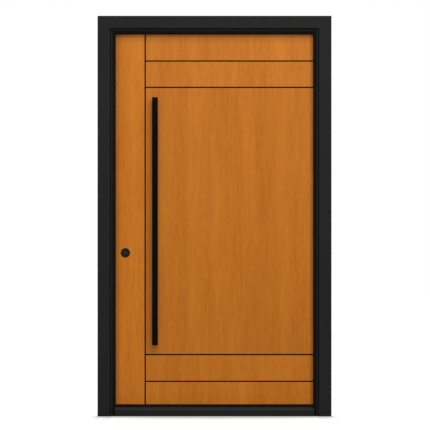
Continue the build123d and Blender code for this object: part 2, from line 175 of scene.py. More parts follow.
def amount(name, description, default):
    """A setting that is a plain number from zero up."""
    return FloatProperty(name=name, description=description, default=default, min=0.0)


class DoorFinishSettings(bpy.types.PropertyGroup):
    """Colours, grain, relief, and painted light on the sill, of the door's finishes."""

    light_stain: colour("Light stain", "Stain on the palest streaks of the grain", (0.585, 0.194, 0.0110))
    deep_stain: colour("Deep stain", "Stain on the darkest streaks of the grain", (0.395, 0.106, 0.0000))
    edge_light: colour("Edge light", "Palest wood on the leaf's edges", (0.46, 0.17, 0.022))
    edge_deep: colour("Edge deep", "Darkest wood on the leaf's edges", (0.26, 0.082, 0.009))
    frame_paint: colour("Casing paint", "Charcoal coat of the casings", (0.0142, 0.0142, 0.0142))
    # Jamb face and jamb paint: partly two-tone paint, partly painted light on the band and painted shade
    # deeper in the jamb
    jamb_face: colour("Jamb face", "Coat on the flat band beside the casings", (0.0190, 0.0190, 0.0186))
    jamb_paint_and_shade: colour("Jamb paint", "Darker coat on the rest of the jambs", (0.0088, 0.0088, 0.0086))
    seal_rubber: colour("Seal rubber", "Seals at the jambs and head", (0.0022, 0.0019, 0.0016))
    shoe_rubber: colour("Shoe rubber", "Shoe under the leaf and lip before it", (0.0085, 0.0080, 0.0076))
    sill_bronze: colour("Sill bronze", "Anodised tread of the sill", (0.0048, 0.0048, 0.0046))
    composite: colour("Composite", "Moulded core and cap of the sill", (0.0090, 0.0088, 0.0084))
    groove_strip: colour("Groove strip", "Dark strips in the grooves", (0.0060, 0.0030, 0.0008))
    powder_black: colour("Powder black", "Powder coat of the pulls", (0.0010, 0.0011, 0.0008))
    rose_coat: colour("Rose coat", "Powder coat of the lock's roses", (0.0052, 0.0056, 0.0048))
    lock_grey: colour("Lock grey", "Collar, key plug and lock plates", (0.0065, 0.0076, 0.0076))
    hinge_black: colour("Hinge black", "Coat of the hinges and their screws", (0.0055, 0.0055, 0.0055))
    foam: colour("Foam", "Rigid foam inside the leaf", (0.72, 0.62, 0.36))
    band_width: length("Band width", "Width of the broad tone bands in the grain", 0.085)
    streak_width: length("Streak width", "Width of a streak of grain", 0.015)
    streak_length: length("Streak length", "Length of a streak of grain", 0.30)
    grain_relief: length("Grain relief", "Depth of the moulded grain", 0.00012)
    coat_relief: length("Coat relief", "Depth of the orange peel in a coat", 0.00004)
    line_relief: length("Line relief", "Depth of the lines drawn along the tread", 0.00003)
    cell_relief: length("Cell relief", "Depth of the foam's cells", 0.0004)
    cell_scale: amount("Cell scale", "Scale of the foam's cells", 420.0)
    # Painted light on the sill's slope, as factors on the bronze: at its foot and at its top
    nose_painted_light: amount("Nose wear", "How much paler feet leave the foot of the sill's slope", 5.4)
    top_painted_light: amount("Back wear", "How much paler feet leave the top of the sill's slope", 1.6)


class DoorFastenerSettings(bpy.types.PropertyGroup):
    """Sizes of the screws and of the sill's ribs."""

    hinge_head: length("Hinge screw head", "Radius of a hinge screw's head", 0.0046)
    plate_head: length("Plate screw head", "Radius of a lock plate screw's head", 0.0038)
    cap_head: length("Cap screw head", "Radius of a threshold cap screw's head", 0.0055)
    set_head: length("Set screw head", "Radius of a set screw in a pull's post", 0.0028)
    head_rise: length("Head rise", "How far a screw's head stands off its seat", 0.0005)
    hinge_rise: length("Hinge screw rise", "How far a hinge screw's head stands off its plate", 0.0001)
    cap_screws: IntProperty(name="Cap screws", description="Screws along the threshold cap", default=5, min=2)
    ribs: IntProperty(name="Ribs", description="Ribs across the sill's slope", default=11, min=2)
    rib_width: length("Rib width", "Width of a rib on the sill's slope", 0.0018)
    rib_end_gap: length("Rib end gap", "Room left at each end of a rib", 0.004)


class DoorStageSettings(bpy.types.PropertyGroup):
    """Camera, floor and lamps."""

    camera_distance: length("Camera distance", "From the camera to the casings' face", 40.0)
    picture_width: length("Picture width", "What the picture spans at the casings' face", 2.5975)
    picture_x: length("Picture centre across", "Place that the picture is centred on, across", 0.003)
    picture_z: length("Picture centre up", "Place that the picture is centred on, up", 1.2167)
    floor_reach: length("Floor reach", "Half the side of the floor", 60.0)
    floor_drop: length("Floor drop", "How far the floor lies under the sill", 0.0005)
    contact_reach: length("Contact reach", "How far the shade at the foot spreads on the floor", 1.1)
    foot_shade: amount("Foot shade", "How much deeper the floor's shade is at the casings' feet", 2.1)
    ambient: amount("Ambient", "Light from all round", 0.177)
    horizon: amount("Horizon", "Factor on the ambient light at eye level", 0.7)
    zenith: amount("Zenith", "Factor on the ambient light from straight above", 2.2)
    indoors: amount("Indoors", "What the indoor side adds to that factor", 5.0)
    key: amount("Key", "Strength of the key sun", 0.82)
    key_azimuth: angle("Key azimuth", "How far the key sun stands right of straight ahead", 1.0)
    key_height: angle("Key height", "Key sun's height over the horizon", 18.0)
    key_softness: angle("Key softness", "Key sun's apparent width", 28.0)
    top_power: amount("Top lamp", "Power of the lamp over the upper right", 118.0)
    top_place: point("Top lamp place", "Where the top lamp hangs", (0.7, -3.9, 3.6))
    top_target: point("Top lamp target", "What the top lamp is aimed at", (0.1, 0.0, 2.1))
    top_width: length("Top lamp width", "Width of the top lamp", 4.0)
    top_depth: length("Top lamp depth", "Length of the top lamp's other side", 1.6)


# Steps shared by the shader and geometry trees


def put(tree, kind, inputs=None, **options):
    """Add a node with its options, and set or link its inputs."""
    node = tree.nodes.new(kind)
    for name, value in options.items():
        setattr(node, name, value)
    for name, value in (inputs or {}).items():
        feed(tree, node.inputs[name], value)
    return node


def feed(tree, socket, value):
    """Link a socket to another, or give it a value."""
    if isinstance(value, bpy.types.NodeSocket):
        tree.links.new(value, socket)
    else:
        socket.default_value = value


def maths(tree, operation, first, second=0.0, third=None, clamp=False):
    """One step of arithmetic."""
    inputs = {0: first, 1: second}
    if third is not None:
        inputs[2] = third
    return put(tree, "ShaderNodeMath", inputs, operation=operation, use_clamp=clamp).outputs[0]


def vector(tree, x=0.0, y=0.0, z=0.0):
    """A vector from three numbers."""
    return put(tree, "ShaderNodeCombineXYZ", {"X": x, "Y": y, "Z": z}).outputs[0]


def axes(tree, place):
    """The X, Y and Z of a place."""
    return put(tree, "ShaderNodeSeparateXYZ", {"Vector": place}).outputs


def scaled(tree, value, factor):
    """A vector or colour times a number."""
    node = put(tree, "ShaderNodeVectorMath", {0: value}, operation="SCALE")
    feed(tree, node.inputs["Scale"], factor)
    return node.outputs[0]


def ramp(tree, value, start, end, first=0.0, last=1.0, interpolation="LINEAR"):
    """From first to last while a value goes from start to end, and level beyond them."""
    node = put(
        tree, "ShaderNodeMapRange",
        {"Value": value, "From Min": start, "From Max": end, "To Min": first, "To Max": last},
        interpolation_type=interpolation,
    )
    return node.outputs["Result"]


def mix(tree, factor, first, second, blend_type="MIX"):
    """Blend two colours."""
    node = put(tree, "ShaderNodeMix", data_type="RGBA", blend_type=blend_type)
    feed(tree, node.inputs[0], factor)
    feed(tree, node.inputs[6], first)
    feed(tree, node.inputs[7], second)
    return node.outputs[2]


def noise(tree, place, detail):
    """Noise of one unit's size at a place, from 0 to 1."""
    inputs = {"Vector": place, "Scale": 1.0, "Detail": detail, "Roughness": 0.5}
    return put(tree, "ShaderNodeTexNoise", inputs).outputs["Fac"]


def opaque(values):
    """A colour setting with full alpha."""
    return (*values, 1.0)


def shared(name, build):
    """A node group that is built once, under its own name."""
    return bpy.data.node_groups.get(name) or build(name)


def new_group(name, kind, inputs, outputs):
    """An empty node group with named sockets; returns its tree, its inputs and its output node."""
    tree = bpy.data.node_groups.new(name, kind)
    for socket_name, socket_kind, default in inputs:
        socket = tree.interface.new_socket(name=socket_name, in_out="INPUT", socket_type=socket_kind)
        if default is not None:
            socket.default_value = default
    for socket_name, socket_kind in outputs:
        tree.interface.new_socket(name=socket_name, in_out="OUTPUT", socket_type=socket_kind)
    entry = tree.nodes.new("NodeGroupInput")
    return tree, entry.outputs, tree.nodes.new("NodeGroupOutput")


# Shader groups

FINISH_OUTPUTS = (
    ("Color", "NodeSocketColor"), ("Relief", "NodeSocketFloat"), ("Roughness", "NodeSocketFloat")
)


def stained_grain_group(name):
    """Upright wood grain: broad bands, long streaks, fibres and short pores."""
    tree, given, out = new_group(
        name, "ShaderNodeTree",
        (
            ("Vector", "NodeSocketVector", None),
            ("Light stain", "NodeSocketColor", (0.6, 0.2, 0.01, 1.0)),
            ("Deep stain", "NodeSocketColor", (0.4, 0.1, 0.005, 1.0)),
            ("Band width", "NodeSocketFloat", 0.085),
            ("Streak width", "NodeSocketFloat", 0.015),
            ("Streak length", "NodeSocketFloat", 0.4),
            ("Contrast", "NodeSocketFloat", 1.0),
        ),
        FINISH_OUTPUTS,
    )
    place = axes(tree, given["Vector"])
    width, run = given["Streak width"], given["Streak length"]
    flat_across = maths(tree, "ADD", place["X"], place["Y"])

    def layer(across, layer_width, layer_run, offset, detail=2.0):
        """Noise drawn out along the grain: its width, its run, and an offset that no other layer has."""
        wide = maths(tree, "DIVIDE", across, layer_width)
        tall = maths(tree, "DIVIDE", place["Z"], layer_run)
        return noise(tree, vector(tree, wide, offset, tall), detail)

    sway = layer(flat_across, 0.22, 0.7, 2.5, 1.0)
    across = maths(tree, "MULTIPLY_ADD", sway, 0.030, flat_across)
    bands = layer(across, given["Band width"], maths(tree, "MULTIPLY", run, 6.0), 0.3)
    streaks = layer(across, width, run, 4.1, 3.0)
    flecks = layer(across, maths(tree, "MULTIPLY", width, 0.45), maths(tree, "MULTIPLY", run, 0.16), 6.6)
    fibres = layer(across, maths(tree, "MULTIPLY", width, 0.09), maths(tree, "MULTIPLY", run, 0.20), 8.7)
    pores = ramp(tree, layer(across, 0.0011, 0.016, 11.9, 1.0), 0.60, 0.70)

    tone = 0.0
    for texture, share in zip((bands, streaks, flecks, fibres), GRAIN_SHARES):
        tone = maths(tree, "MULTIPLY_ADD", texture, share, tone)
    tone = maths(tree, "SUBTRACT", tone, 0.5)
    tone = maths(tree, "MULTIPLY_ADD", tone, given["Contrast"], 0.5, clamp=True)

    stained = mix(tree, tone, given["Deep stain"], given["Light stain"])
    warm = mix(tree, WARM_SHARE, stained, WARM_STAIN)
    stained = mix(tree, layer(across, 0.05, 0.5, 15.2), stained, warm)
    filled = mix(tree, 1.0, stained, PORE_TINT, "MULTIPLY")
    stained = mix(tree, maths(tree, "MULTIPLY", pores, PORE_SHARE), stained, filled)
    feed(tree, out.inputs["Color"], stained)
    relief = maths(tree, "MULTIPLY_ADD", fibres, 0.5, maths(tree, "MULTIPLY", pores, -0.5))
    feed(tree, out.inputs["Relief"], relief)
    feed(tree, out.inputs["Roughness"], maths(tree, "MULTIPLY_ADD", tone, -0.10, 0.50))
    return tree


def coat_texture_group(name):
    """A sprayed or moulded coat: slight uneven tone, orange peel and grit."""
    tree, given, out = new_group(
        name, "ShaderNodeTree",
        (
            ("Vector", "NodeSocketVector", None),
            ("Coat", "NodeSocketColor", (0.02, 0.02, 0.02, 1.0)),
            ("Unevenness", "NodeSocketFloat", 0.15),
            ("Grit size", "NodeSocketFloat", 0.0012),
            ("Roughness level", "NodeSocketFloat", 0.5),
        ),
        FINISH_OUTPUTS,
    )
    clouds = noise(tree, scaled(tree, given["Vector"], CLOUD_SCALE), 3.0)
    grit_place = scaled(tree, given["Vector"], maths(tree, "DIVIDE", 1.0, given["Grit size"]))
    grit = noise(tree, grit_place, 2.0)
    peel = noise(tree, scaled(tree, grit_place, PEEL_SCALE), 1.0)

    cloud_swing = maths(tree, "SUBTRACT", clouds, 0.5)
    grit_swing = maths(tree, "SUBTRACT", grit, 0.5)
    swing = maths(tree, "MULTIPLY_ADD", grit_swing, 0.6, maths(tree, "MULTIPLY", cloud_swing, 2.0))
    gain = maths(tree, "MULTIPLY_ADD", swing, given["Unevenness"], 1.0)
    feed(tree, out.inputs["Color"], scaled(tree, given["Coat"], gain))
    feed(tree, out.inputs["Relief"], maths(tree, "MULTIPLY_ADD", grit, 0.35, peel))
    rough = maths(tree, "MULTIPLY_ADD", cloud_swing, 0.12, given["Roughness level"])
    feed(tree, out.inputs["Roughness"], rough)
    return tree


# Materials


def blank_material(name, specular):
    """A material with a Principled shader; returns it with its tree, shader and object coordinates."""
    material = bpy.data.materials.new(name)
    material.use_nodes = True
    tree = material.node_tree
    tree.nodes.clear()
    shader = tree.nodes.new("ShaderNodeBsdfPrincipled")
    shader.inputs["Specular IOR Level"].default_value = specular
    put(tree, "ShaderNodeOutputMaterial", {"Surface": shader.outputs[0]})
    place = tree.nodes.new("ShaderNodeTexCoord").outputs["Object"]
    return material, tree, shader, place


def parts_of(material):
    """A coated material's tree, shader, object coordinates and what feeds its colour."""
    tree = material.node_tree
    shader = tree.nodes["Principled BSDF"]
    place = tree.nodes["Texture Coordinate"].outputs["Object"]
    return tree, shader, place, shader.inputs["Base Color"].links[0].from_socket


def place_group(tree, group, inputs):
    """Put a group in a material with its own values."""
    node = tree.nodes.new("ShaderNodeGroup")
    node.node_tree = group
    for name, value in inputs.items():
        feed(tree, node.inputs[name], value)
    return node.outputs


def add_bump(tree, shader, height, distance):
    """Feed a height to the shader's normal."""
    bump = put(tree, "ShaderNodeBump", {"Strength": 1.0, "Distance": distance, "Height": height})
    feed(tree, shader.inputs["Normal"], bump.outputs[0])


def board_steps(tree, place):
    """Which board of the leaf a point is on: 0 for the stile, then 1 to 5 from the bottom up."""
    side = axes(tree, place)
    steps = 1.0
    for height in GROOVE_HEIGHTS:
        steps = maths(tree, "ADD", steps, maths(tree, "GREATER_THAN", side["Z"], height))
    return maths(tree, "MULTIPLY", steps, maths(tree, "GREATER_THAN", side["X"], UPRIGHT_GROOVE_X))


def board_tone(tree, step):
    """The brightness of each board, read off a curve with one point for each."""
    last = len(BOARD_TONES) - 1
    node = put(tree, "ShaderNodeFloatCurve", {"Value": maths(tree, "DIVIDE", step, last)})
    curve = node.mapping.curves[0]
    for index, level in enumerate(BOARD_TONES):
        if index < len(curve.points):
            curve.points[index].location = (index / last, level)
        else:
            curve.points.new(index / last, level)
    for bend in curve.points:
        bend.handle_type = "VECTOR"
    node.mapping.update()
    return maths(tree, "MULTIPLY", node.outputs[0], BOARD_GAIN)


def painted_rim_shade(tree, place):
    """Painted shade near the leaf's head and sides, where the frame's recess shades them: one over the
    middle, less towards the edges.
    """
    low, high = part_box("outer_skin")
    side = axes(tree, place)
    tone = 1.0
    for axis, edge, inwards, rim in (
        ("X", low.x, 1.0, LATCH_RIM_SHADE), ("X", high.x, -1.0, HINGE_RIM_SHADE), ("Z", high.z, -1.0, HEAD_RIM_SHADE),
    ):
        start, end, level = rim
        fade = ramp(
            tree, side[axis], edge + inwards * start, edge + inwards * end, level, 1.0, "SMOOTHSTEP"
        )
        tone = maths(tree, "MULTIPLY", tone, fade)
    return tone


def wood_material(name, light, deep, contrast, specular, boards_and_rim_shade=False):
    """Stained grain with its moulded relief; each board differs in grain and tone, and the rim gets painted
    shade.
    """
    settings = bpy.context.scene.door_finish
    material, tree, shader, place = blank_material(name, specular)
    tone = None
    if boards_and_rim_shade:
        step = board_steps(tree, place)
        # Each board's tone, times the painted shade at the leaf's rim
        tone = maths(tree, "MULTIPLY", board_tone(tree, step), painted_rim_shade(tree, place))
        shift = vector(tree, maths(tree, "MULTIPLY", step, BOARD_SHIFT))
        place = put(tree, "ShaderNodeVectorMath", {0: place, 1: shift}).outputs[0]
    grain = place_group(
        tree, shared("Stained grain", stained_grain_group),
        {
            "Vector": place, "Light stain": opaque(light), "Deep stain": opaque(deep),
            "Band width": settings.band_width, "Streak width": settings.streak_width,
            "Streak length": settings.streak_length, "Contrast": contrast,
        },
    )
    # The stain, times the board's tone and the painted rim shade
    stain = scaled(tree, grain["Color"], tone) if boards_and_rim_shade else grain["Color"]
    feed(tree, shader.inputs["Base Color"], stain)
    feed(tree, shader.inputs["Roughness"], grain["Roughness"])
    add_bump(tree, shader, grain["Relief"], settings.grain_relief)
    return material


def coat_material(name, coat, unevenness=0.15):
    """A coated, moulded or anodised surface, with its values from the list of coats."""
    settings = bpy.context.scene.door_finish
    roughness, specular, grit = COATS[name]
    material, tree, shader, place = blank_material(name, specular)
    texture = place_group(
        tree, shared("Coat texture", coat_texture_group),
        {
            "Vector": place, "Coat": opaque(coat), "Unevenness": unevenness,
            "Grit size": grit, "Roughness level": roughness,
        },
    )
    feed(tree, shader.inputs["Base Color"], texture["Color"])
    feed(tree, shader.inputs["Roughness"], texture["Roughness"])
    add_bump(tree, shader, texture["Relief"], settings.coat_relief)
    return material


def jamb_material():
    """The jambs' coat, paler on the flat band beside the casings and darker deeper in: partly two-tone paint,
    partly painted light on the band and painted shade in the recess.
    """
    settings = bpy.context.scene.door_finish
    material = coat_material("jamb_paint_and_shade", settings.jamb_paint_and_shade)
    tree, shader, place, coat = parts_of(material)
    # Paler coat on the band at the jamb's face, darker deeper in: partly painted light and painted shade
    just_behind_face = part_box("latch_jamb")[0].y + 0.0003
    on_face = maths(tree, "LESS_THAN", axes(tree, place)["Y"], just_behind_face)
    feed(tree, shader.inputs["Base Color"], mix(tree, on_face, coat, opaque(settings.jamb_face)))
    return material


def tread_material():
    """Bronze with fine lines drawn along X in place of orange peel, and painted light on its slope."""
    settings = bpy.context.scene.door_finish
    material = coat_material("sill_metal", settings.sill_bronze, unevenness=0.10)
    tree, shader, place, coat = parts_of(material)
    height = axes(tree, place)["Z"]
    start, full = (SILL_FRONT_HEIGHT + rise for rise in SLOPE_LIGHT_FADE)
    over_nose = ramp(tree, height, start, full)
    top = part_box("sill_tread")[1].z
    slope_painted_light = ramp(tree, height, SILL_FRONT_HEIGHT, top, settings.nose_painted_light, settings.top_painted_light)
    # Paler on the slope as painted light, most at its foot
    painted_light_gain = maths(tree, "MULTIPLY_ADD", over_nose, slope_painted_light, 1.0)
    feed(tree, shader.inputs["Base Color"], scaled(tree, coat, painted_light_gain))
    stretch = put(tree, "ShaderNodeMapping", {"Vector": place, "Scale": LINE_SCALE})
    bump = tree.nodes["Bump"]
    feed(tree, bump.inputs["Height"], noise(tree, stretch.outputs[0], 3.0))
    feed(tree, bump.inputs["Distance"], settings.line_relief)
    return material


def rose_material():
    """Black powder coat with a greyer raised collar round the lock's axis."""
    settings = bpy.context.scene.door_finish
    material = coat_material("rose_metal", settings.rose_coat)
    tree, shader, place, coat = parts_of(material)
    low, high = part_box("key_cylinder")
    offset = put(tree, "ShaderNodeVectorMath", {0: place, 1: (low + high) / 2}, operation="SUBTRACT")
    flat = put(tree, "ShaderNodeVectorMath", {0: offset.outputs[0], 1: (1.0, 0.0, 1.0)}, operation="MULTIPLY")
    radius = put(tree, "ShaderNodeVectorMath", {0: flat.outputs[0]}, operation="LENGTH").outputs["Value"]
    inside = maths(tree, "LESS_THAN", radius, COLLAR_RADIUS)
    feed(tree, shader.inputs["Base Color"], mix(tree, inside, coat, opaque(settings.lock_grey)))
    return material


def foam_material():
    """Rigid foam with fine cells, darker and duller towards their walls."""
    settings = bpy.context.scene.door_finish
    material, tree, shader, place = blank_material("foam", specular=0.2)
    cells = put(
        tree, "ShaderNodeTexVoronoi", {"Vector": place, "Scale": settings.cell_scale}, feature="F1"
    )
    depth = cells.outputs["Distance"]
    shade = maths(tree, "MULTIPLY_ADD", depth, -0.35, 1.1)
    feed(tree, shader.inputs["Base Color"], scaled(tree, settings.foam, shade))
    feed(tree, shader.inputs["Roughness"], maths(tree, "MULTIPLY_ADD", depth, 0.1, 0.85))
    add_bump(tree, shader, depth, settings.cell_relief)
    return material


def dress(material, *nodes):
    """Give CAD nodes a material."""
    for name in nodes:
        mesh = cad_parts[name].data
        mesh.materials.clear()
        mesh.materials.append(material)


# Geometry trees


def new_geometry_tree(name, inputs):
    """An empty geometry tree with named inputs; returns it with its input sockets and output node."""
    through = ("Geometry", "NodeSocketGeometry")
    return new_group(name, "GeometryNodeTree", ((*through, None), *inputs), (through,))


def close_tree(tree, given, out, instances):
    """End a tree in plain geometry with its finish."""
    real = put(tree, "GeometryNodeRealizeInstances", {"Geometry": instances})
    finish = put(tree, "GeometryNodeSetMaterial", {"Geometry": real.outputs[0], "Material": given["Finish"]})
    feed(tree, out.inputs["Geometry"], finish.outputs[0])


def moved(tree, geometry, shift):
    """Geometry shifted by a vector."""
    node = put(tree, "GeometryNodeTransform", {"Geometry": geometry, "Translation": shift})
    return node.outputs[0]


def screw_tree(name):
    """Cross-recessed heads on points, each facing its point's own way and turned at random."""
    tree, given, out = new_geometry_tree(
        name,
        (
            ("Head radius", "NodeSocketFloat", 0.0046),
            ("Head rise", "NodeSocketFloat", 0.0005),
            ("Seed", "NodeSocketInt", 4),
            ("Finish", "NodeSocketMaterial", None),
        ),
    )
    radius = given["Head radius"]
    half_depth = maths(tree, "MULTIPLY", radius, 0.5)
    head = put(
        tree, "GeometryNodeMeshCylinder",
        {"Vertices": 24, "Radius": radius, "Depth": maths(tree, "MULTIPLY", half_depth, 2.0)},
    )
    recess = tree.nodes.new("GeometryNodeJoinGeometry")
    for share_x, share_y in ((RECESS_LENGTH, RECESS_WIDTH), (RECESS_WIDTH, RECESS_LENGTH)):
        arm_x = maths(tree, "MULTIPLY", radius, share_x)
        arm_y = maths(tree, "MULTIPLY", radius, share_y)
        arm = put(tree, "GeometryNodeMeshCube", {"Size": vector(tree, arm_x, arm_y, half_depth)})
        tree.links.new(moved(tree, arm.outputs["Mesh"], vector(tree, z=half_depth)), recess.inputs[0])
    carved = put(
        tree, "GeometryNodeMeshBoolean",
        {"Mesh 1": head.outputs["Mesh"], "Mesh 2": recess.outputs[0], "Self Intersection": True},
        operation="DIFFERENCE", solver="EXACT",
    )
    sunk = vector(tree, z=maths(tree, "SUBTRACT", given["Head rise"], half_depth))
    seated = moved(tree, carved.outputs["Mesh"], sunk)
    facing = put(tree, "GeometryNodeInputNamedAttribute", {"Name": "facing"}, data_type="FLOAT_VECTOR")
    aligned = put(
        tree, "FunctionNodeAlignRotationToVector", {"Vector": facing.outputs["Attribute"]}, axis="Z"
    )
    turn = put(tree, "FunctionNodeRandomValue", {"Seed": given["Seed"]}, data_type="FLOAT")
    feed(tree, turn.inputs[3], math.pi)
    spin = put(tree, "FunctionNodeAxisAngleToRotation", {"Angle": turn.outputs[1]})
    turned = put(
        tree, "FunctionNodeRotateRotation",
        {"Rotation": aligned.outputs[0], "Rotate By": spin.outputs[0]}, rotation_space="LOCAL",
    )
    placed = put(
        tree, "GeometryNodeInstanceOnPoints",
        {"Points": given["Geometry"], "Instance": seated, "Rotation": turned.outputs[0]},
    )
    close_tree(tree, given, out, placed.outputs[0])
    return tree


def rib_tree(name):
    """Low half-round ribs, each along X, stepped up a slope."""
    tree, given, out = new_geometry_tree(
        name,
        (
            ("Ribs", "NodeSocketInt", 9),
            ("Start", "NodeSocketVector", None),
            ("Step", "NodeSocketVector", None),
            ("Rib length", "NodeSocketFloat", 1.2),
            ("Rib width", "NodeSocketFloat", 0.0018),
            ("Finish", "NodeSocketMaterial", None),
        ),
    )
    places = put(
        tree, "GeometryNodeMeshLine",
        {"Count": given["Ribs"], "Start Location": given["Start"], "Offset": given["Step"]}, mode="OFFSET",
    )
    half = maths(tree, "MULTIPLY", given["Rib length"], 0.5)
    spine = put(
        tree, "GeometryNodeCurvePrimitiveLine",
        {"Start": vector(tree, maths(tree, "MULTIPLY", half, -1.0)), "End": vector(tree, half)},
    )
    section = put(
        tree, "GeometryNodeCurvePrimitiveCircle",
        {"Resolution": 10, "Radius": maths(tree, "MULTIPLY", given["Rib width"], 0.5)},
    )
    rib = put(
        tree, "GeometryNodeCurveToMesh",
        {"Curve": spine.outputs[0], "Profile Curve": section.outputs[0], "Fill Caps": True},
    )
    placed = put(
        tree, "GeometryNodeInstanceOnPoints", {"Points": places.outputs[0], "Instance": rib.outputs[0]}
    )
    close_tree(tree, given, out, placed.outputs[0])
    return tree


def grow(name, tree, values, body, points=(), facings=()):
    """Run a geometry tree on points and keep the result as one plain piece of a body."""
    mesh = bpy.data.meshes.new(name)
    mesh.from_pydata([tuple(seat) for seat in points], [], [])
    facing = mesh.attributes.new("facing", "FLOAT_VECTOR", "POINT")
    for index, direction in enumerate(facings):
        facing.data[index].vector = direction
    piece = bpy.data.objects.new(name, mesh)
    bpy.context.scene.collection.objects.link(piece)
    modifier = piece.modifiers.new("Grow", "NODES")
    modifier.node_group = tree
    for item in tree.interface.items_tree:
        if item.in_out == "INPUT" and item.name in values:
            modifier[item.identifier] = values[item.name]
    bpy.context.view_layer.update()
    evaluated = piece.evaluated_get(bpy.context.evaluated_depsgraph_get())
    grown = bpy.data.meshes.new_from_object(evaluated)
    piece.modifiers.remove(modifier)
    piece.data = grown
    bpy.data.meshes.remove(mesh)
    grown.name = name
    while len(grown.materials) > 1 and grown.materials[0] is None:
        grown.materials.pop(index=0)
    if not grown.polygons:
        raise RuntimeError(f"{name} came out empty")
    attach(piece, body)


def add_screws(name, body, finish, head_radius, head_rise, seats, seed):
    """Screws of one size on one body; seats are pairs of a place and the way its head faces."""
    tree = shared("Recessed screws", screw_tree)
    values = {"Head radius": head_radius, "Head rise": head_rise, "Seed": seed, "Finish": finish}
    grow(name, tree, values, body, [seat[0] for seat in seats], [seat[1] for seat in seats])


# Operators


class DOOR_OT_paint_frame(bpy.types.Operator):
    """Paint the jambs and casings"""

    bl_idname = "door.paint_frame"
    bl_label = "Paint Frame"

    def execute(self, context):
        casing = coat_material("frame_paint", context.scene.door_finish.frame_paint)
        dress(casing, "latch_casing", "hinge_casing", "head_casing")
        dress(jamb_material(), "latch_jamb", "hinge_jamb", "head_jamb")
        return {"FINISHED"}


class DOOR_OT_fit_seals(bpy.types.Operator):
    """Finish the seals and the shoe under the leaf"""

    bl_idname = "door.fit_seals"
    bl_label = "Finish Seals"

    def execute(self, context):
        settings = context.scene.door_finish
        dress(coat_material("seal_rubber", settings.seal_rubber), "latch_seal", "hinge_seal", "head_seal")
        dress(coat_material("shoe_rubber", settings.shoe_rubber), "door_shoe", "threshold_lip")
        return {"FINISHED"}


class DOOR_OT_finish_sill(bpy.types.Operator):
    """Finish the sill and add its ribs and cap screws"""

    bl_idname = "door.finish_sill"
    bl_label = "Finish Sill"

    def execute(self, context):
        fasteners = context.scene.door_fasteners
        bronze = tread_material()
        composite = coat_material("sill_composite", context.scene.door_finish.composite)
        dress(bronze, "sill_tread")
        dress(composite, "sill_base", "threshold_cap")
        self.add_ribs(fasteners, bronze)
        self.add_cap_screws(fasteners, composite)
        return {"FINISHED"}

    def add_ribs(self, fasteners, finish):
        """Ribs across the slope, from its foot towards its top."""
        low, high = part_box("sill_tread")
        front = Vector((0.0, low.y, SILL_FRONT_HEIGHT))
        back = Vector((0.0, high.y, high.z))
        first, last = (front.lerp(back, share) for share in RIB_SPAN)
        values = {
            "Ribs": fasteners.ribs, "Start": first, "Step": (last - first) / (fasteners.ribs - 1),
            "Rib length": high.x - low.x - 2 * fasteners.rib_end_gap,
            "Rib width": fasteners.rib_width, "Finish": finish,
        }
        grow("tread_ribs", shared("Tread ribs", rib_tree), values, "frame")

    def add_cap_screws(self, fasteners, finish):
        """Screws along the threshold cap, evenly spaced."""
        low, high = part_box("threshold_cap")
        reach = (high.x - low.x) / 2 - CAP_SCREW_INSET
        step = 2 * reach / (fasteners.cap_screws - 1)
        place_y = low.y + (high.y - low.y) * CAP_SCREW_SHARE
        seats = [
            ((-reach + step * index, place_y, high.z), (0.0, 0.0, 1.0))
            for index in range(fasteners.cap_screws)
        ]
        add_screws(
            "cap_screws", "frame", finish,
            fasteners.cap_head, fasteners.head_rise, seats, seed=11,
        )


class DOOR_OT_stain_leaf(bpy.types.Operator):
    """Stain the leaf's skins and edges and darken its grooves"""

    bl_idname = "door.stain_leaf"
    bl_label = "Stain Leaf"

    def execute(self, context):
        settings = context.scene.door_finish
        skin = wood_material(
            "grained_skin", settings.light_stain, settings.deep_stain,
            contrast=2.7, specular=0.12, boards_and_rim_shade=True,
        )
        edge = wood_material(
            "edge_wood", settings.edge_light, settings.edge_deep, contrast=1.6, specular=0.18
        )
        strip = coat_material("groove_strip", settings.groove_strip)
        dress(skin, "outer_skin", "inner_skin")
        dress(edge, "latch_stile", "hinge_stile", "top_rail", "bottom_rail")
        dress(strip, "outer_groove_trim", "inner_groove_trim")
        dress(foam_material(), "foam_core")
        return {"FINISHED"}


class DOOR_OT_coat_pulls(bpy.types.Operator):
    """Powder-coat the pulls and add the set screws of their posts"""

    bl_idname = "door.coat_pulls"
    bl_label = "Coat Pulls"

    def execute(self, context):
        fasteners = context.scene.door_fasteners
        black = coat_material("black_metal", context.scene.door_finish.powder_black)
        dress(black, "outer_pull_bar", "outer_pull_posts", "inner_pull_bar", "inner_pull_posts", "thumb_turn")
        seats = []
        for node in ("outer_pull_posts", "inner_pull_posts"):
            low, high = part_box(node)
            middle = (low + high) / 2
            post_width = high.x - low.x
            for foot in (low.z, high.z - post_width):
                seats.append(((middle.x, middle.y, foot), (0.0, 0.0, -1.0)))
        add_screws(
            "pull_set_screws", "leaf", black,
            fasteners.set_head, fasteners.head_rise, seats, seed=5,
        )
        return {"FINISHED"}


